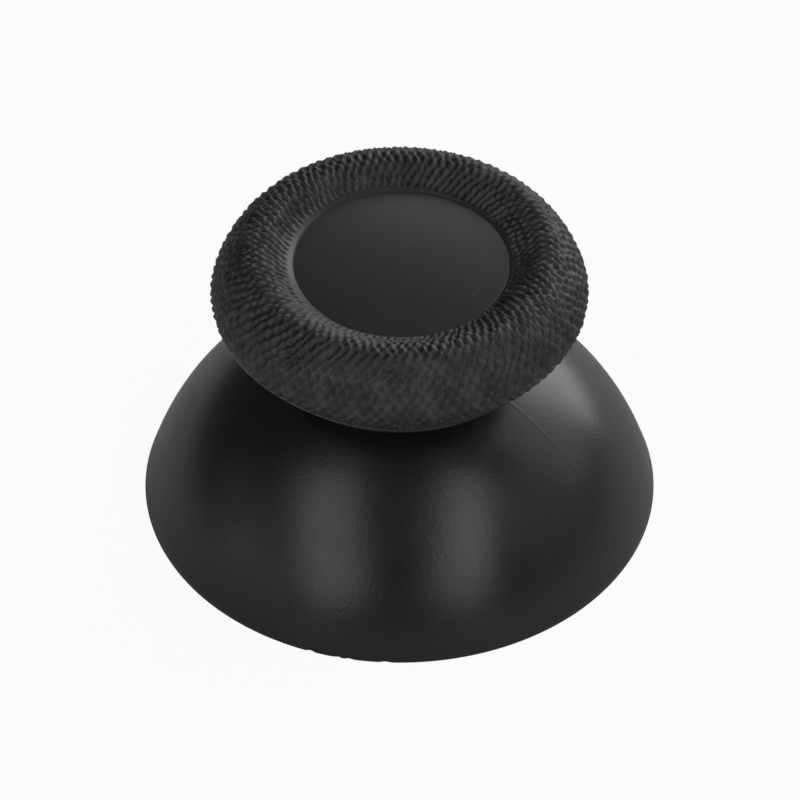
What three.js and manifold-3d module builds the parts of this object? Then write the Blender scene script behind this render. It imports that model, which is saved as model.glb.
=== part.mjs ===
import * as THREE from 'three';
import { mergeVertices } from 'three/addons/utils/BufferGeometryUtils.js';
import Module from 'manifold-3d';

// Thumbstick cap of a game controller, in millimetres, +Z up.
// The origin is the centre of the skirt's rim, on the plane that the cap stands on.

// Skirt: part of a spherical shell about the stick's pivot
const skirtRadius = 12.5;
const pivotDrop = 3.5; // the pivot lies this far below the rim
const skirtWall = 1.1;

// Neck between the skirt and the head
const neckRadius = 4.2;
const neckHeight = 0.95; // from the skirt's dome at the neck's radius to the head's underside
const neckFootFillet = 0.6;
const neckHeadFillet = 0.2;

// Boss inside the skirt, with the keyed socket that the stick's shaft is pushed into
const bossRadius = 3.3;
const bossEndHeight = 3.2; // above the rim
const bossEndChamfer = 0.2;
const bossRootFillet = 1.0;
const socketDiameter = 4.05;
const socketAcrossFlats = 3.15;
const socketDepth = 6.0;
const socketLeadIn = 0.3;

// Head: the knurled ring about the disc, both soft, over the core and flange of the hard moulding
const headHeight = 5.57; // from the flange's underside to the ring's crest
const ringRadius = 9.05;
const beltHeight = 2.97; // where the ring is widest, above the flange's underside
const crestRadius = 7.35;
const discRadius = 5.15;
const discSink = 0.91; // the disc's edge below the ring's crest
const discCrown = 0.25; // the disc's centre above its edge
const flankTuck = 1.15; // the flank starts this far inside the ring's widest part
const flankTop = 1.17; // above the flange's underside
const flankLean = 42; // degrees from the axis
const flangeThickness = 0.39;
const flangeEdgeRadius = 0.25;
const rubberSide = 1.0; // rubber outside the core, at the flange
const rubberTop = 1.5; // rubber over the core, under the disc's edge
const coreChamfer = 0.4;
const mouldFit = 0.3; // round the core, inside the rubber

// How far the ring's curves run straight before they bend
const innerPull = 0.75; // up from the disc
const crestPull = 0.75; // to both sides of the crest
const beltRise = 0.4; // up from the widest part
const bellyDrop = 0.6; // down from the widest part
const flankPull = 0.6; // up from the flank
const innerRise = 32; // degrees, the slope at which the ring leaves the disc

// Knurl: a net of fine ridges round lozenge-shaped pits, from just outside the disc over the crest
// to the plain band at the flank's foot
const knurlsAround = 70;
const knurlPitch = 0.5; // from row to row, along the ring's surface
const knurlDepth = 0.16;
const plainBand = 0.2; // between the knurl and the flange

// Facets
const bodySegments = 64;
const domeSteps = 8;
const filletSteps = 3;
const ringSteps = 2 * knurlsAround;
const discSteps = 3;
const socketSteps = 8;

const overcut = 0.5; // how far a cutting tool starts outside the material

const domeRadius = Math.hypot(skirtRadius, pivotDrop);
const innerDomeRadius = domeRadius - skirtWall;
const headBase = Math.sqrt(domeRadius ** 2 - neckRadius ** 2) - pivotDrop + neckHeight;
const flangeTop = headBase + flangeThickness;
const crestHeight = headBase + headHeight;
const discEdgeHeight = crestHeight - discSink;
const coreTop = discEdgeHeight - rubberTop;
const flankRadius = ringRadius - flankTuck;
const flankSlope = Math.tan(THREE.MathUtils.degToRad(flankLean));
const flankRadiusAt = (height) => flankRadius - (headBase + flankTop - height) * flankSlope;
const coreRadius = flankRadiusAt(flangeTop) - rubberSide;

const wasm = await Module();
wasm.setup();

// A closed geometry as a solid: shared corners are merged, and faces that vanish on the axis are dropped
function toSolid(geometry) {
  geometry.deleteAttribute('normal');
  geometry.deleteAttribute('uv');
  const merged = mergeVertices(geometry, 1e-5);
  const corners = merged.index.array;
  const triangles = [];
  for (let i = 0; i < corners.length; i += 3) {
    const [a, b, c] = corners.subarray(i, i + 3);
    if (a !== b && b !== c && c !== a) triangles.push(a, b, c);
  }
  return new wasm.Manifold(new wasm.Mesh({
    numProp: 3,
    vertProperties: merged.attributes.position.array,
    triVerts: new Uint32Array(triangles),
  }));
}

function toGeometry(solid) {
  const mesh = solid.getMesh();
  const geometry = new THREE.BufferGeometry();
  geometry.setAttribute('position', new THREE.BufferAttribute(mesh.vertProperties, 3));
  geometry.setIndex(new THREE.BufferAttribute(mesh.triVerts, 1));
  geometry.computeVertexNormals();
  return geometry;
}

// Points on an arc in the (radius, height) plane, both ends included
function arc(centreRadius, centreHeight, radius, from, to, steps) {
  const points = [];
  for (let i = 0; i <= steps; i += 1) {
    const angle = from + (to - from) * i / steps;
    points.push(new THREE.Vector2(
      centreRadius + radius * Math.cos(angle),
      centreHeight + radius * Math.sin(angle),
    ));
  }
  return points;
}

function revolve(profile) {
  const geometry = new THREE.LatheGeometry(profile, bodySegments);
  geometry.rotateX(Math.PI / 2);
  return geometry;
}

// The boss's side runs through a fillet into the inside of the dome
function bossAndInnerDome() {
  const filletRadius = bossRadius + bossRootFillet;
  const filletAbovePivot = Math.sqrt((innerDomeRadius - bossRootFillet) ** 2 - filletRadius ** 2);
  const meet = Math.atan2(filletAbovePivot, filletRadius);
  const rim = Math.asin(pivotDrop / innerDomeRadius);
  return [
    new THREE.Vector2(0, bossEndHeight),
    new THREE.Vector2(bossRadius - bossEndChamfer, bossEndHeight),
    new THREE.Vector2(bossRadius, bossEndHeight + bossEndChamfer),
    ...arc(filletRadius, filletAbovePivot - pivotDrop, bossRootFillet, Math.PI, meet, filletSteps),
    ...arc(0, -pivotDrop, innerDomeRadius, meet, rim, domeSteps).slice(1),
  ];
}

// The outside of the dome runs through a fillet into the neck, and the neck into the flange
function outerDomeAndNeck() {
  const filletRadius = neckRadius + neckFootFillet;
  const filletAbovePivot = Math.sqrt((domeRadius + neckFootFillet) ** 2 - filletRadius ** 2);
  const meet = Math.atan2(filletAbovePivot, filletRadius);
  const rim = Math.asin(pivotDrop / domeRadius);
  return [
    ...arc(0, -pivotDrop, domeRadius, rim, meet, domeSteps),
    ...arc(filletRadius, filletAbovePivot - pivotDrop, neckFootFillet,
      meet + Math.PI, Math.PI, filletSteps).slice(1),
    ...arc(neckRadius + neckHeadFillet, headBase - neckHeadFillet, neckHeadFillet,
      Math.PI, Math.PI / 2, filletSteps),
  ];
}

// The flange's rounded edge leads into the flank, and the core stands on the flange
function flangeAndCore() {
  const edgeHeight = headBase + flangeEdgeRadius;
  const edgeRadius = flankRadiusAt(edgeHeight) - flangeEdgeRadius * Math.hypot(1, flankSlope);
  return [
    ...arc(edgeRadius, edgeHeight, flangeEdgeRadius, -Math.PI / 2, -Math.atan(flankSlope), filletSteps),
    new THREE.Vector2(flankRadiusAt(flangeTop), flangeTop),
    new THREE.Vector2(coreRadius, flangeTop),
    new THREE.Vector2(coreRadius, coreTop - coreChamfer),
    new THREE.Vector2(coreRadius - coreChamfer, coreTop),
    new THREE.Vector2(0, coreTop),
  ];
}

// A round socket with two flats, and a chamfer all round its mouth that leads the shaft in
function keyedSocket() {
  const radius = socketDiameter / 2;
  const flatAngle = Math.asin(socketAcrossFlats / socketDiameter);
  const outline = new THREE.Shape();
  outline.absarc(0, 0, radius, -flatAngle, flatAngle);
  outline.absarc(0, 0, radius, Math.PI - flatAngle, Math.PI + flatAngle);
  outline.closePath();
  const bore = new THREE.ExtrudeGeometry(outline, {
    depth: socketDepth + overcut,
    bevelEnabled: false,
    curveSegments: socketSteps,
  });
  bore.translate(0, 0, bossEndHeight - overcut);

  const lead = new THREE.ExtrudeGeometry(outline, {
    depth: overcut,
    bevelThickness: socketLeadIn,
    bevelSize: socketLeadIn,
    bevelSegments: 1,
    curveSegments: socketSteps,
  });
  lead.translate(0, 0, bossEndHeight - overcut);
  return toSolid(bore).add(toSolid(lead));
}

function stickBodyGeometry() {
  const profile = [...bossAndInnerDome(), ...outerDomeAndNeck(), ...flangeAndCore()];
  return toGeometry(toSolid(revolve(profile)).subtract(keyedSocket()));
}

// The ring's section, from the disc's edge over the crest and the widest part to the foot of the knurl
function ringSection() {
  const rise = THREE.MathUtils.degToRad(innerRise);
  const belt = headBase + beltHeight;
  const flankStart = headBase + flankTop;
  const lean = THREE.MathUtils.degToRad(flankLean);
  const knurlEnd = flangeTop + plainBand;
  const section = new THREE.Path();
  section.moveTo(discRadius, discEdgeHeight);
  section.bezierCurveTo(
    discRadius + innerPull * Math.cos(rise), discEdgeHeight + innerPull * Math.sin(rise),
    crestRadius - crestPull, crestHeight,
    crestRadius, crestHeight,
  );
  section.bezierCurveTo(
    crestRadius + crestPull, crestHeight,
    ringRadius, belt + beltRise,
    ringRadius, belt,
  );
  section.bezierCurveTo(
    ringRadius, belt - bellyDrop,
    flankRadius + flankPull * Math.sin(lean), flankStart + flankPull * Math.cos(lean),
    flankRadius, flankStart,
  );
  section.lineTo(flankRadiusAt(knurlEnd), knurlEnd);
  return section;
}

// Each row of the grip is a ring of corners. A knurled row sinks every other corner by the knurl's depth,
// and the next row sinks the ones between, so each sunk corner is a pit with four peaks round it.
// The rows at the disc's edge and at the foot of the knurl are plain.
function gripRows() {
  const rows = [];
  for (let i = 1; i <= discSteps; i += 1) {
    const radius = discRadius * i / discSteps;
    const height = discEdgeHeight + discCrown * (1 - (radius / discRadius) ** 2);
    rows.push({ radius, height, sink: () => 0 });
  }
  const section = ringSection();
  const knurlRows = Math.round(section.getLength() / knurlPitch);
  for (let i = 0; i <= knurlRows; i += 1) {
    const point = section.getPoint(i / knurlRows);
    const tangent = section.getTangent(i / knurlRows);
    const plain = i === 0 || i === knurlRows;
    const sink = (column) => (!plain && (column + i) % 2 ? knurlDepth : 0);
    rows.push({ radius: point.x, height: point.y, inwardRadius: tangent.y, inwardHeight: -tangent.x, sink });
  }
  rows.push({ radius: flankRadiusAt(flangeTop), height: flangeTop, sink: () => 0 });
  return rows;
}

// The grip before its pocket is cut: the rows, closed by a corner on the axis above and below.
// The facets' diagonals join peak to peak, which makes the ridges of the net.
function gripBlock() {
  const rows = gripRows();
  const positions = [];
  const triangles = [];
  rows.forEach(({ radius, height, inwardRadius = 0, inwardHeight = 0, sink }) => {
    for (let column = 0; column < ringSteps; column += 1) {
      const angle = 2 * Math.PI * column / ringSteps;
      const depth = sink(column);
      const reach = radius + inwardRadius * depth;
      positions.push(reach * Math.cos(angle), reach * Math.sin(angle), height + inwardHeight * depth);
    }
  });
  const corner = (row, column) => row * ringSteps + column % ringSteps;
  const firstRingRow = discSteps;
  for (let row = 0; row < rows.length - 1; row += 1) {
    for (let column = 0; column < ringSteps; column += 1) {
      const a = corner(row, column);
      const b = corner(row, column + 1);
      const c = corner(row + 1, column + 1);
      const d = corner(row + 1, column);
      const firstIsPeak = (column + row - firstRingRow) % 2 === 0;
      if (firstIsPeak) triangles.push(a, d, c, a, c, b);
      else triangles.push(a, d, b, b, d, c);
    }
  }
  const discCentre = positions.length / 3;
  const baseCentre = discCentre + 1;
  positions.push(0, 0, discEdgeHeight + discCrown, 0, 0, flangeTop);
  for (let column = 0; column < ringSteps; column += 1) {
    triangles.push(discCentre, corner(0, column), corner(0, column + 1));
    triangles.push(baseCentre, corner(rows.length - 1, column + 1), corner(rows.length - 1, column));
  }
  const geometry = new THREE.BufferGeometry();
  geometry.setAttribute('position', new THREE.Float32BufferAttribute(positions, 3));
  geometry.setIndex(triangles);
  return geometry;
}

// The pocket that the core fills: its roof lies on the core's top, with the fit all round
function corePocket() {
  const radius = coreRadius + mouldFit;
  return revolve([
    new THREE.Vector2(0, flangeTop - overcut),
    new THREE.Vector2(radius, flangeTop - overcut),
    new THREE.Vector2(radius, coreTop),
    new THREE.Vector2(0, coreTop),
  ]);
}

function gripCapGeometry() {
  return toGeometry(toSolid(gripBlock()).subtract(toSolid(corePocket())));
}

const hardPlastic = new THREE.MeshStandardMaterial({ color: '#202121', roughness: 0.42, metalness: 0 });
const softRubber = new THREE.MeshStandardMaterial({ color: '#2f2f30', roughness: 0.85, metalness: 0 });

const stickBody = new THREE.Mesh(stickBodyGeometry(), hardPlastic);
stickBody.name = 'stick_body';
const gripCap = new THREE.Mesh(gripCapGeometry(), softRubber);
gripCap.name = 'grip_cap';

const thumbstickCap = new THREE.Group();
thumbstickCap.add(stickBody, gripCap);

export default thumbstickCap;
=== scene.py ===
import math

import bmesh
import bpy
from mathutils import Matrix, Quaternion, Vector


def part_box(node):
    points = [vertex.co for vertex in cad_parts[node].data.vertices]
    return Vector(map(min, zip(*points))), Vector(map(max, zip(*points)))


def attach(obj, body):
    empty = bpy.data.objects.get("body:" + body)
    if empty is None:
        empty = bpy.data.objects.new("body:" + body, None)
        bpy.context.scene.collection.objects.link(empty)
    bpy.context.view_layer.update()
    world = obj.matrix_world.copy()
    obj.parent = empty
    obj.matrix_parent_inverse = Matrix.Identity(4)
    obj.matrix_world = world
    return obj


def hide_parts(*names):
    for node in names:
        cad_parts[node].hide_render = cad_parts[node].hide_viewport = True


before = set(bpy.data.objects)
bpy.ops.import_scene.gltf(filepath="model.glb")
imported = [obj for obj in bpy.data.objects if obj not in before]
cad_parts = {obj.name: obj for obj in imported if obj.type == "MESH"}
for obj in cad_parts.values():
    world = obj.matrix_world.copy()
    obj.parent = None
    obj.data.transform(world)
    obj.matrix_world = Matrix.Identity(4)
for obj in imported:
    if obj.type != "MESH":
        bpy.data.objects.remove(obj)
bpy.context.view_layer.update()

MM = 0.001
body_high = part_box("stick_body")[1]
grip_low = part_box("grip_cap")[0]


# The hard moulding. It is one piece of satin black plastic: the domed skirt, the neck, the flange under
# the grip and the core inside it, and the boss with the keyed socket that is pushed onto the stick.
# It comes out of a mould that splits along two meridians, where a thin witness line is left.
skirt_radius = body_high.x
pivot_drop = 3.5 * MM
skirt_wall = 1.1 * MM
dome_radius = math.hypot(skirt_radius, pivot_drop)
inner_dome_radius = dome_radius - skirt_wall
rim_round = 0.07 * MM
rim_round_middle = 0.3 * rim_round  # its middle corner, from each of the two faces

neck_radius = 4.2 * MM
neck_height = 0.95 * MM
neck_foot_fillet = 0.6 * MM
neck_head_fillet = 0.2 * MM
head_base = math.sqrt(dome_radius ** 2 - neck_radius ** 2) - pivot_drop + neck_height

boss_radius = 3.3 * MM
boss_end = 3.2 * MM
boss_end_round = 0.2 * MM
boss_root_fillet = 1.0 * MM
socket_diameter = 4.05 * MM
socket_across_flats = 3.15 * MM
socket_floor = boss_end + 6.0 * MM
socket_floor_bevel = 0.08 * MM
socket_lead_in = 0.3 * MM

ring_radius = 9.05 * MM
flange_top = grip_low.z
flange_edge_round = 0.25 * MM
flange_inset = 0.02 * MM  # the flange's top stays this far inside the head's flank
flank_radius = ring_radius - 1.15 * MM
flank_start = head_base + 1.17 * MM
flank_lean = math.radians(42)
core_radius = 6.2 * MM
core_top = body_high.z
core_round = 0.4 * MM

parting_azimuth = math.radians(61.5)
parting_height = 0.005 * MM
parting_half_width = 0.07 * MM
parting_columns = 6  # fine columns to each side of a meridian
parting_column_degrees = 0.12
parting_clear = math.radians(0.8)  # the even columns stay this far away
even_columns = 480
dome_steps = 36

chip_reach = 0.45 * MM  # how far in from the skirt's side a chip runs out on the flat rim
rim_chips = (  # azimuth in degrees, half width in degrees, depth
    (-19.9, 1.0, 0.09 * MM),
    (-13.6, 0.8, 0.06 * MM),
    (-11.0, 0.7, 0.07 * MM),
    (-3.1, 1.1, 0.07 * MM),
    (143.0, 0.9, 0.05 * MM),
)


def flank_at(height):
    """The radius of the head's flank at a height."""
    return flank_radius - (flank_start - height) * math.tan(flank_lean)


def arc(centre, radius, start, end, steps):
    """Points (radius, height) on an arc about centre, both ends included."""
    turns = [start + (end - start) * i / steps for i in range(steps + 1)]
    return [(centre[0] + radius * math.cos(turn), centre[1] + radius * math.sin(turn)) for turn in turns]


def meridian_gap(azimuth):
    """How far an azimuth lies from the nearer of the two mould meridians, in radians."""
    turn = (azimuth - parting_azimuth) % math.pi
    return min(turn, math.pi - turn)


def socket_row(height, offset):
    """A row of the keyed socket: round with two flats, widened by offset."""
    def place(azimuth):
        across = abs(math.cos(azimuth))
        flat = (socket_across_flats / 2 + offset) / max(across, 1e-6)
        return min(socket_diameter / 2 + offset, flat), height
    return place


def outside_row(radius, height, lean):
    """A row of the outer face, which the mould's witness line crosses. lean is the face's own slope."""
    def place(azimuth):
        across = meridian_gap(azimuth) * radius / parting_half_width
        rise = parting_height * math.exp(-across * across)
        return radius + rise * math.cos(lean), height + rise * math.sin(lean)
    return place


def rim_row(radius, height, inward):
    """A row of the rim's outer corner, with the small chips that the photograph shows. inward is the
    share of a chip's depth that goes in from the side, and the rest goes up."""
    def place(azimuth):
        chip = 0.0
        for centre, half_width, depth in rim_chips:
            turn = (math.degrees(azimuth) - centre + 180) % 360 - 180
            chip = max(chip, depth * (1 - (turn / half_width) ** 2))
        return radius - chip * inward, height + chip * (1 - inward)
    return place


def moulding_rows():
    """Rows of the moulding's skin, from the socket's floor round the outside to the core's top."""
    socket = [
        (0, socket_floor),
        socket_row(socket_floor, offset=-socket_floor_bevel),
        socket_row(socket_floor - socket_floor_bevel, offset=0),
        socket_row(boss_end + socket_lead_in, offset=0),
        socket_row(boss_end, offset=socket_lead_in),
    ]
    boss = arc((boss_radius - boss_end_round, boss_end + boss_end_round), boss_end_round,
               -math.pi / 2, 0, steps=5)
    root_radius = boss_radius + boss_root_fillet
    root_rise = math.sqrt((inner_dome_radius - boss_root_fillet) ** 2 - root_radius ** 2)
    root_meet = math.atan2(root_rise, root_radius)
    root = arc((root_radius, root_rise - pivot_drop), boss_root_fillet, math.pi, root_meet, steps=8)
    inner_rim = math.asin(pivot_drop / inner_dome_radius)
    inside = arc((0, -pivot_drop), inner_dome_radius, root_meet, inner_rim, steps=20)[1:]

    outer_rim = math.asin((pivot_drop + rim_round) / dome_radius)
    rim = [
        (skirt_radius - chip_reach, 0),
        rim_row(skirt_radius - rim_round, 0, inward=0.2),
        rim_row(skirt_radius - rim_round_middle, rim_round_middle, inward=0.5),
        rim_row(skirt_radius, rim_round, inward=0.7),
    ]
    foot_radius = neck_radius + neck_foot_fillet
    foot_rise = math.sqrt((dome_radius + neck_foot_fillet) ** 2 - foot_radius ** 2)
    foot_meet = math.atan2(foot_rise, foot_radius)
    dome = []
    for i in range(1, dome_steps + 1):
        lean = outer_rim + (foot_meet - outer_rim) * i / dome_steps
        radius = dome_radius * math.cos(lean)
        height = dome_radius * math.sin(lean) - pivot_drop
        dome.append(outside_row(radius, height, lean))
    foot = arc((foot_radius, foot_rise - pivot_drop), neck_foot_fillet,
               foot_meet + math.pi, math.pi, steps=6)[1:]
    neck = arc((neck_radius + neck_head_fillet, head_base - neck_head_fillet), neck_head_fillet,
               math.pi, math.pi / 2, steps=4)

    edge_height = head_base + flange_edge_round
    edge_radius = flank_at(edge_height) - flange_edge_round / math.cos(flank_lean)
    edge = arc((edge_radius, edge_height), flange_edge_round, -math.pi / 2, -flank_lean, steps=6)
    core_corner = (core_radius - core_round, core_top - core_round)
    core = [
        (flank_at(flange_top) - flange_inset, flange_top),
        (core_radius, flange_top),
        *arc(core_corner, core_round, 0, math.pi / 2, steps=4),
        (0, core_top),
    ]
    return [*socket, *boss, *root, *inside, *rim, *dome, *foot, *neck, *edge, *core]


def turned_skin(name, rows, azimuths):
    """A skin round the Z axis. A row is a point (radius, height), or a function of the azimuth that
    gives one, and a row of radius 0 is a single corner. Azimuth 0 faces -Y and 90 degrees faces +X."""
    bm = bmesh.new()
    rings = []
    for row in rows:
        if not callable(row) and row[0] == 0:
            rings.append([bm.verts.new((0, 0, row[1]))])
            continue
        ring = []
        for azimuth in azimuths:
            radius, height = row(azimuth) if callable(row) else row
            ring.append(bm.verts.new((radius * math.sin(azimuth), -radius * math.cos(azimuth), height)))
        rings.append(ring)
    for lower, upper in zip(rings, rings[1:]):
        count = max(len(lower), len(upper))
        for i in range(count):
            j = (i + 1) % count
            if len(lower) == 1:
                bm.faces.new((lower[0], upper[j], upper[i]))
            elif len(upper) == 1:
                bm.faces.new((lower[i], lower[j], upper[0]))
            else:
                bm.faces.new((lower[i], lower[j], upper[j], upper[i]))
    for face in bm.faces:
        face.smooth = True
    mesh = bpy.data.meshes.new(name)
    bm.to_mesh(mesh)
    bm.free()
    return mesh


def moulding_azimuths():
    """Even steps round, and finer ones across each mould meridian."""
    even = [2 * math.pi * i / even_columns for i in range(even_columns)]
    clear = [azimuth for azimuth in even if meridian_gap(azimuth) > parting_clear]
    fine = [parting_azimuth + side * math.pi + math.radians(parting_column_degrees * k)
            for side in (0, 1) for k in range(-parting_columns, parting_columns + 1)]
    return sorted(azimuth % (2 * math.pi) for azimuth in clear + fine)


class Link:
    """A socket of a node tree that can be written in a sum or a product."""

    def __init__(self, tree, socket=None):
        self.tree = tree
        self.socket = socket

    def node(self, kind, settings=None, **sockets):
        """Adds a node, makes its settings, then fills its sockets with values or Links. A socket goes
        by its name, or by i and its number, such as i0."""
        made = self.tree.nodes.new(kind)
        for key, value in (settings or {}).items():
            setattr(made, key, value)
        for key, value in sockets.items():
            place = made.inputs[int(key[1:])] if key[0] == "i" and key[1:].isdigit() else made.inputs[key]
            if isinstance(value, Link):
                self.tree.links.new(value.socket, place)
            else:
                place.default_value = value
        return made

    def out(self, kind, output, settings=None, **sockets):
        """The same as node, and returns one of its outputs."""
        return Link(self.tree, self.node(kind, settings, **sockets).outputs[output])

    def maths(self, operation, *values):
        """A Math node on its values, which are numbers or Links."""
        sockets = {f"i{i}": value for i, value in enumerate(values)}
        return self.out("ShaderNodeMath", 0, {"operation": operation}, **sockets)

    def __add__(self, other):
        return self.maths("ADD", self, other)

    def __radd__(self, other):
        return self.maths("ADD", other, self)

    def __sub__(self, other):
        return self.maths("SUBTRACT", self, other)

    def __rsub__(self, other):
        return self.maths("SUBTRACT", other, self)

    def __mul__(self, other):
        return self.maths("MULTIPLY", self, other)

    def __rmul__(self, other):
        return self.maths("MULTIPLY", other, self)

    def between(self, low, high):
        """0 below low, 1 above high, smooth between them."""
        return self.out("ShaderNodeMapRange", 0, {"interpolation_type": "SMOOTHSTEP"},
                        i0=self, i1=low, i2=high, i3=0.0, i4=1.0)


def new_material(name):
    """A material with a Principled shader, and a Link that starts its maths at Object coordinates."""
    material = bpy.data.materials.new(name)
    material.use_nodes = True
    tree = material.node_tree
    return material, tree.nodes["Principled BSDF"], Link(tree).out("ShaderNodeTexCoord", "Object")


def join(link, node, socket):
    """Leads a Link into a socket of a node that is there already."""
    link.tree.links.new(link.socket, node.inputs[socket])


def noise(place, scale, detail, roughness=0.5):
    """Noise over Object coordinates, with scale in lumps to the metre."""
    return place.out("ShaderNodeTexNoise", "Fac", Vector=place, Scale=scale, Detail=detail,
                     Roughness=roughness)


def blend_colours(factor, first, second, kind="MIX"):
    """A blend of two colours, each of them a value or a Link."""
    ends = [colour if isinstance(colour, Link) else (*colour, 1) for colour in (first, second)]
    return factor.out("ShaderNodeMix", 2, {"data_type": "RGBA", "blend_type": kind},
                      Factor=factor, i6=ends[0], i7=ends[1])


def hard_plastic():
    """Satin black plastic: an even mould grain, with faint patches that are a little glossier."""
    material, shader, place = new_material("hard_plastic")
    cloud = noise(place, 260, 3)
    grain = noise(place, 6000, 2)
    join(blend_colours(cloud, (0.0065, 0.0065, 0.0067), (0.009, 0.009, 0.0092)), shader, "Base Color")
    join(0.26 + cloud.between(0.3, 0.7) * 0.05 + grain * 0.05, shader, "Roughness")
    shader.inputs["Specular IOR Level"].default_value = 0.5
    bump = place.out("ShaderNodeBump", 0, Strength=0.33, Distance=0.02 * MM, Height=grain)
    join(bump, shader, "Normal")
    return material


moulding = bpy.data.objects.new("moulded_stick_body",
                                turned_skin("moulded_stick_body", moulding_rows(), moulding_azimuths()))
bpy.context.collection.objects.link(moulding)
moulding.data.materials.append(hard_plastic())
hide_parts("stick_body")
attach(moulding, "root")


# The grip. It is soft matt rubber moulded over the core: a fat ring with a fine net of ridges round
# lozenge-shaped pits, plain bands at its foot and round the disc, and a smooth disc, slightly domed,
# that the thumb rests on.
crest_height = head_base + 5.57 * MM
crest_radius = 7.0 * MM
belt_height = head_base + 2.97 * MM
disc_radius = 5.15 * MM
disc_edge = crest_height - 0.91 * MM
disc_crown = 0.25 * MM
disc_rings = 9
disc_last_ring = 0.015 * MM  # narrow, so that the crease doesn't shade the disc beside it
disc_shift = Vector((0.1 * MM, -0.06 * MM, 0))  # the disc lies a little off the ring's centre
inner_rise = math.radians(32)
inner_pull = 0.75 * MM
crest_inner_pull = 0.75 * MM
crest_outer_pull = 1.25 * MM
belt_rise = 0.4 * MM
belly_drop = 0.6 * MM
flank_pull = 0.6 * MM
crease_depth = 0.14 * MM
crease_azimuth = math.radians(62)  # it is deepest here and fades out behind the disc
crease_half_width = 0.05 * MM
foot_band = 0.2 * MM
foot_overhang = 0.01 * MM  # past the flank, so that it covers the flange's top
mould_fit = 0.3 * MM
curve_steps = 60

knurls_around = 100
knurl_start = 0.25  # of a turn: the knurls are counted from the right
knurl_pitch = 0.44 * MM
knurl_depth = 0.21 * MM
inner_band = 0.30 * MM
band_shift = 0.20 * MM  # the knurl lies a little off centre, so the plain band round the disc varies
band_shift_azimuth = math.radians(-105)
foot_fade = 0.3 * MM
foot_lip = 2.35 * MM  # the smooth lip at the knurl's foot, widest at the front left
foot_lip_azimuth = math.radians(-65)
lip_highlight_half_width = 0.25 * MM  # half the width of the painted highlight, the pale line where the lip begins
lip_highlight_drop = 0.6  # the share of it that the painted highlight's middle lies below the lip's upper edge
lip_highlight_full = 0.6  # the painted highlight is whole where the lip has this share of its widest
steps_to_a_knurl = 6
steps_to_a_row = 5


def bezier(corners, steps):
    """Points on a cubic curve, without its first."""
    points = []
    for i in range(1, steps + 1):
        t = i / steps
        weights = ((1 - t) ** 3, 3 * t * (1 - t) ** 2, 3 * t * t * (1 - t), t ** 3)
        points.append(tuple(sum(w * c[k] for w, c in zip(weights, corners)) for k in (0, 1)))
    return points


def ring_section():
    """The ring's outline, from the disc's edge over the crest to the foot of the knurl."""
    knurl_end = flange_top + foot_band
    edge = (disc_radius, disc_edge)
    from_edge = (disc_radius + inner_pull * math.cos(inner_rise),
                 disc_edge + inner_pull * math.sin(inner_rise))
    crest = (crest_radius, crest_height)
    to_crest = (crest_radius - crest_inner_pull, crest_height)
    from_crest = (crest_radius + crest_outer_pull, crest_height)
    belt = (ring_radius, belt_height)
    to_belt = (ring_radius, belt_height + belt_rise)
    from_belt = (ring_radius, belt_height - belly_drop)
    flank = (flank_radius, flank_start)
    to_flank = (flank_radius + flank_pull * math.sin(flank_lean),
                flank_start + flank_pull * math.cos(flank_lean))
    return [
        edge,
        *bezier((edge, from_edge, to_crest, crest), curve_steps),
        *bezier((crest, from_crest, to_belt, belt), curve_steps),
        *bezier((belt, from_belt, to_flank, flank), curve_steps),
        (flank_at(knurl_end), knurl_end),
    ]


def even_steps(points, steps):
    """The points moved to even distances along their line, and that line's length."""
    run = [0.0]
    for a, b in zip(points, points[1:]):
        run.append(run[-1] + math.dist(a, b))
    even = []
    k = 0
    for i in range(steps + 1):
        goal = run[-1] * i / steps
        while k < len(run) - 2 and run[k + 1] < goal:
            k += 1
        share = (goal - run[k]) / (run[k + 1] - run[k])
        even.append(tuple(points[k][c] + (points[k + 1][c] - points[k][c]) * share for c in (0, 1)))
    return even, run[-1]


def lip_width(azimuth):
    """How far the smooth lip reaches up from the knurl's foot."""
    return foot_lip * (0.5 + 0.5 * math.cos(azimuth - foot_lip_azimuth)) ** 4


def knurl_share(run, length, azimuth):
    """How deep the knurl is at a run along the ring's outline: 0 on the plain bands, 1 between them."""
    band = inner_band + band_shift * math.cos(azimuth - band_shift_azimuth)
    start = (run - 0.5 * band) / band
    end = (length - run - lip_width(azimuth)) / foot_fade
    share = max(0.0, min(1.0, start, end))
    return share * share * (3 - 2 * share)


def lip_highlight_share(run, length, azimuth):
    """1 on the painted highlight, a pale line where the knurl ends and the lip begins, and 0 away from
    it.
    """
    width = lip_width(azimuth)
    across = (length - run - width) / lip_highlight_half_width + lip_highlight_drop
    return max(0.0, 1 - across * across) * min(1.0, width / (lip_highlight_full * foot_lip))


def crease_share(azimuth):
    """How deep the crease between the disc and the ring is, from 0 to 1."""
    return (0.5 + 0.5 * math.cos(azimuth - crease_azimuth)) ** 2


def crease_row(azimuth):
    """The row along the bottom of the crease."""
    return disc_radius, disc_edge - crease_depth * crease_share(azimuth)


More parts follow.
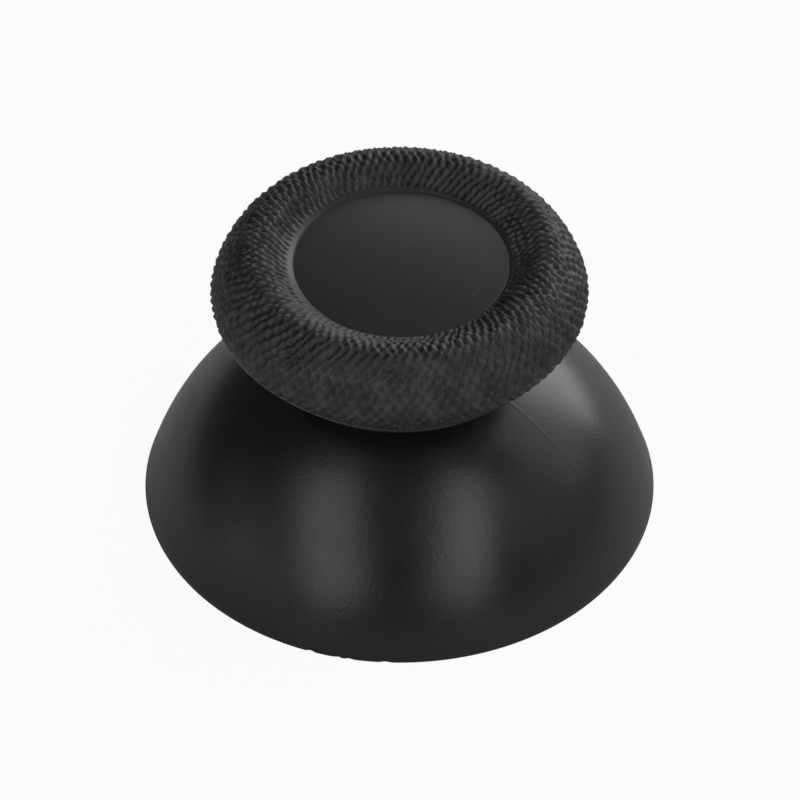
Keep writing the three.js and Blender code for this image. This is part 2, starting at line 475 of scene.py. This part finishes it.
def grip_skin():
    """The grip before it is knurled, as a skin whose corners know their place in the knurl."""
    outline = ring_section()
    length = even_steps(outline, 1)[1]
    knurl_rows = round(length / knurl_pitch)
    ring, _ = even_steps(outline, knurl_rows * steps_to_a_row)
    ring[0] = crease_row
    disc_end = disc_radius - crease_half_width
    disc_radii = [disc_end * i / disc_rings for i in range(disc_rings)]
    disc = []
    for radius in (*disc_radii, disc_end - disc_last_ring, disc_end):
        disc.append((radius, disc_edge + disc_crown * (1 - (radius / disc_radius) ** 2)))
    foot = [
        (flank_at(flange_top) + foot_overhang, flange_top),
        (core_radius + mould_fit, flange_top),
        (core_radius + mould_fit, core_top),
        (0, core_top),
    ]
    rows = [*reversed(foot), *reversed(ring), *reversed(disc)]
    columns = knurls_around * steps_to_a_knurl
    azimuths = [2 * math.pi * i / columns for i in range(columns)]
    mesh = turned_skin("grip", rows, azimuths)

    names = ("knurl_around", "knurl_along", "knurl_share", "lip_highlight_share", "crease_share")
    for name in names:
        mesh.attributes.new(name, "FLOAT", "POINT")
    around, along, share, lip, crease = (mesh.attributes[name].data for name in names)
    corner = 0
    for number, row in enumerate(rows):
        step = len(foot) + len(ring) - 1 - number  # negative on the disc
        inside = 0 <= step < len(ring)
        run = length * step / (len(ring) - 1)
        nearness = max(0.0, min(1.0, 1 - run / (crest_radius - disc_radius)))
        for azimuth in azimuths if callable(row) or row[0] else (0,):
            mesh.vertices[corner].co += disc_shift * nearness
            around[corner].value = (azimuth / (2 * math.pi) - knurl_start) * knurls_around
            along[corner].value = step / steps_to_a_row
            share[corner].value = knurl_share(run, length, azimuth) if inside else 0.0
            # the mask of the painted highlight along the lip's upper edge
            lip[corner].value = lip_highlight_share(run, length, azimuth) if inside else 0.0
            crease[corner].value = crease_share(azimuth) if step == 0 else 0.0
            corner += 1
    return mesh


def knurl_tree(material):
    """Geometry Nodes that sink pits into the ring's skin, between two families of slanting ridges."""
    tree = bpy.data.node_groups.new("knurl", "GeometryNodeTree")
    tree.is_modifier = True
    tree.interface.new_socket("Geometry", in_out="INPUT", socket_type="NodeSocketGeometry")
    for name in ("Depth", "Narrowness", "First Slant", "Unevenness", "Wander", "Lump Size", "Seed"):
        tree.interface.new_socket(name, in_out="INPUT", socket_type="NodeSocketFloat")
    tree.interface.new_socket("Geometry", in_out="OUTPUT", socket_type="NodeSocketGeometry")
    sockets = tree.nodes.new("NodeGroupInput").outputs[:-1]  # without the empty spare at the end
    given = [Link(tree, socket) for socket in sockets]
    skin, depth, narrowness, first_slant, unevenness, wander, lump_size, seed = given

    def attribute(name):
        return skin.out("GeometryNodeInputNamedAttribute", "Attribute", {"data_type": "FLOAT"}, Name=name)

    lumps = skin.node("ShaderNodeTexNoise", {"noise_dimensions": "4D"},
                      Scale=lump_size, W=seed, Detail=2.0).outputs
    parts = skin.node("ShaderNodeSeparateXYZ", Vector=Link(tree, lumps["Color"])).outputs
    drift = [(Link(tree, parts[k]) - 0.5) * wander for k in (0, 1)]
    around = attribute("knurl_around") + drift[0]
    half_along = attribute("knurl_along") * 0.5 + drift[1]
    slants = []
    for phase in (around + half_along, around - half_along):
        wave = phase.maths("SINE", phase * math.pi)
        slants.append(wave.maths("POWER", wave.maths("ABSOLUTE", wave), narrowness))
    pit = slants[0] * first_slant + slants[1] * (1.0 - first_slant)
    lump = skin.out("ShaderNodeMapRange", 0, i0=Link(tree, lumps["Fac"]), i1=0.35, i2=0.6)
    sunk = pit * ((1.0 - lump * unevenness) * attribute("knurl_share"))
    stored = skin.out("GeometryNodeStoreNamedAttribute", 0, {"data_type": "FLOAT", "domain": "POINT"},
                      Geometry=skin, Name="sunk", Value=sunk)
    normal = skin.out("GeometryNodeInputNormal", 0)
    offset = skin.out("ShaderNodeVectorMath", 0, {"operation": "SCALE"},
                      Vector=normal, Scale=sunk * (depth * -1.0))
    moved = skin.out("GeometryNodeSetPosition", 0, Geometry=stored, Offset=offset)
    whole = skin.out("GeometryNodeRealizeInstances", 0, Geometry=moved)
    painted = skin.out("GeometryNodeSetMaterial", 0, Geometry=whole, Material=material)
    join(painted, tree.nodes.new("NodeGroupOutput"), 0)
    return tree


def soft_rubber():
    """Matt charcoal rubber: paler, blotchy and rougher on the knurl, where it is rubbed and dusty, with
    painted shade darkening the pits and the crease, a little smoother on the disc with a few specks of
    dust, and a painted highlight, a pale line, where the lip begins."""
    material, shader, place = new_material("soft_rubber")
    names = ("sunk", "knurl_share", "lip_highlight_share", "crease_share")
    sunk, knurled, lip, crease = (
        place.out("ShaderNodeAttribute", "Fac", {"attribute_name": name}) for name in names
    )
    cloud = noise(place, 420, 4)
    grain = noise(place, 9000, 2)
    smooth = blend_colours(cloud, (0.011, 0.011, 0.011), (0.015, 0.015, 0.0148))
    blotch = noise(place, 1000, 2).between(0.32, 0.68)
    rubbed = blend_colours(blotch, (0.010, 0.010, 0.010), (0.034, 0.034, 0.0338))
    cells = place.node("ShaderNodeTexVoronoi", Vector=place, Scale=1300.0).outputs
    chosen = Link(place.tree, cells["Color"]).between(0.62, 0.66)
    near = 1.0 - Link(place.tree, cells["Distance"]).between(0.05, 0.10)
    specked = blend_colours(chosen * near * 0.5, smooth, (0.10, 0.10, 0.098), "ADD")
    # painted highlight: a pale line painted along the lip's upper edge
    plain = blend_colours(lip, specked, (0.26, 0.26, 0.255))
    base = blend_colours(knurled, plain, rubbed)
    # painted shade: the colour is darkened in the pits and in the crease, where shade falls
    shade = sunk.between(0.25, 0.85) * 0.95 + crease
    join(blend_colours(shade, base, (0.22, 0.22, 0.22), "MULTIPLY"), shader, "Base Color")
    join(0.32 + cloud * 0.06 + grain * 0.08 + knurled * 0.10 + crease * 0.5, shader, "Roughness")
    shader.inputs["Specular IOR Level"].default_value = 0.5
    bump = place.out("ShaderNodeBump", 0, Strength=0.3, Distance=0.012 * MM, Height=grain)
    join(bump, shader, "Normal")
    return material


blank = bpy.data.objects.new("grip_blank", grip_skin())
bpy.context.collection.objects.link(blank)
rubber = soft_rubber()
knurl = blank.modifiers.new("knurl", "NODES")
knurl.node_group = knurl_tree(rubber)
items = knurl.node_group.interface.items_tree
identifiers = {item.name: item.identifier for item in items if item.in_out == "INPUT"}
knurl_inputs = {
    "Depth": knurl_depth,
    "Narrowness": 1.6,
    "First Slant": 0.55,
    "Unevenness": 0.35,
    "Wander": 1.1,
    "Lump Size": 1300.0,
    "Seed": 7.0,
}
for name, value in knurl_inputs.items():
    knurl[identifiers[name]] = value
knurled = bpy.data.meshes.new_from_object(blank.evaluated_get(bpy.context.evaluated_depsgraph_get()))
knurled.name = "moulded_grip"
bpy.data.objects.remove(blank)

grip = bpy.data.objects.new("moulded_grip", knurled)
bpy.context.collection.objects.link(grip)
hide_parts("grip_cap")
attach(grip, "root")


# The studio. The cap stands on a plain white floor, under soft boxes, and the camera looks down on it
# from the front as in the photograph.
def stage_material(name, seen_colour, lit_colour, glow):
    """A matt floor. The camera sees it in seen_colour, raised towards white by the share glow, and the
    cap sees it in lit_colour. It is clear from below, so that the cap's underside can be seen."""
    material = bpy.data.materials.new(name)
    material.use_nodes = True
    start = Link(material.node_tree)

    def matt(colour):
        sockets = {"Base Color": (*colour, 1), "Roughness": 0.9, "Specular IOR Level": 0.0}
        return start.out("ShaderNodeBsdfPrincipled", 0, **sockets)

    white = start.out("ShaderNodeEmission", 0)
    clear = start.out("ShaderNodeBsdfTransparent", 0)
    to_camera = start.out("ShaderNodeLightPath", "Is Camera Ray")
    from_below = start.out("ShaderNodeNewGeometry", "Backfacing")
    raised = start.out("ShaderNodeMixShader", 0, i0=glow, i1=matt(seen_colour), i2=white)
    above = start.out("ShaderNodeMixShader", 0, i0=to_camera, i1=matt(lit_colour), i2=raised)
    whole = start.out("ShaderNodeMixShader", 0, i0=from_below, i1=above, i2=clear)
    join(whole, start.tree.nodes["Material Output"], "Surface")
    start.tree.nodes.remove(start.tree.nodes["Principled BSDF"])
    return material


floor_radius = 4.0
floor_opening = 12.2 * MM  # under the cap, so that the lamp below reaches its inside
floor_columns = 128
floor_azimuths = [2 * math.pi * i / floor_columns for i in range(floor_columns)]
floor_mesh = turned_skin("floor", [(floor_radius, 0), (floor_opening, 0)], floor_azimuths)
floor = bpy.data.objects.new("floor", floor_mesh)
bpy.context.collection.objects.link(floor)
floor_mesh.materials.append(stage_material("floor", seen_colour=(0.95, 0.95, 0.95),
                                           lit_colour=(0.77, 0.77, 0.77), glow=0.93))

# The camera sees a white room, and the cap stands in a dim one.
world = bpy.data.worlds.new("studio")
bpy.context.scene.world = world
world.use_nodes = True
sky = Link(world.node_tree)
backdrop = sky.out("ShaderNodeBackground", 0, Color=(1, 1, 1, 1))
room = sky.out("ShaderNodeBackground", 0, Color=(1, 1, 1, 1), Strength=0.05)
to_camera = sky.out("ShaderNodeLightPath", "Is Camera Ray")
join(sky.out("ShaderNodeMixShader", 0, i0=to_camera, i1=room, i2=backdrop),
     sky.tree.nodes["World Output"], "Surface")
sky.tree.nodes.remove(sky.tree.nodes["Background"])

head_middle = Vector((0, 0, 8 * MM))
box_distance = 0.9


def soft_box(name, azimuth, elevation, width, height, lean, radiance):
    """A flat lamp that faces the cap. Azimuth 0 is the camera's side and 90 the right. lean turns the
    box in its own plane, and a positive one takes its top to the right as the cap sees it."""
    lamp = bpy.data.lights.new(name, "AREA")
    lamp.shape = "RECTANGLE"
    lamp.size = width
    lamp.size_y = height
    lamp.energy = radiance * width * height * math.pi
    box = bpy.data.objects.new(name, lamp)
    turn = math.radians(azimuth)
    rise = math.radians(elevation)
    away = Vector((math.sin(turn) * math.cos(rise), -math.cos(turn) * math.cos(rise), math.sin(rise)))
    box.location = head_middle + away * box_distance
    upright = away.to_track_quat("Z", "Y")
    box.rotation_euler = (upright @ Quaternion((0, 0, 1), math.radians(lean))).to_euler()
    bpy.context.collection.objects.link(box)


soft_boxes = (  # name, azimuth and elevation in degrees, width, height, lean in degrees, radiance
    ("back", 168, 22, 0.50, 0.36, 0, 2.0),
    ("back_right", 137, 19, 0.40, 0.58, 0, 3.4),
    ("right", 110, 32, 0.40, 0.80, 0, 0.95),
    ("side_right", 78, 24, 0.60, 0.60, 0, 0.38),
    ("side_left", -84, 14, 0.50, 0.42, 0, 0.25),
    ("low_left", -64, 9, 0.60, 0.26, 0, 0.5),
    ("front_left", -38, 34, 0.42, 0.96, 29, 1.85),
    ("front_right", 36, 34.5, 0.34, 0.90, -25, 2.3),
    ("top", 180, 85, 0.60, 0.60, 0, 0.5),
    ("below", 0, -75, 0.60, 0.60, 0, 3.0),
)
for values in soft_boxes:
    soft_box(*values)

camera_elevation = math.radians(43.19)
camera_distance = 267 * MM
camera_aim = Vector((0.024 * MM, 0, 5.45 * MM))
camera_data = bpy.data.cameras.new("camera")
camera_data.sensor_width = 36
camera_data.lens = 247.5
camera_data.clip_start = 0.01
camera_data.clip_end = 20
camera = bpy.data.objects.new("camera", camera_data)
away = Vector((0, -math.cos(camera_elevation), math.sin(camera_elevation)))
camera.location = camera_aim + away * camera_distance
camera.rotation_euler = away.to_track_quat("Z", "Y").to_euler()
bpy.context.collection.objects.link(camera)
bpy.context.scene.camera = camera
bpy.context.scene.view_settings.view_transform = "Standard"
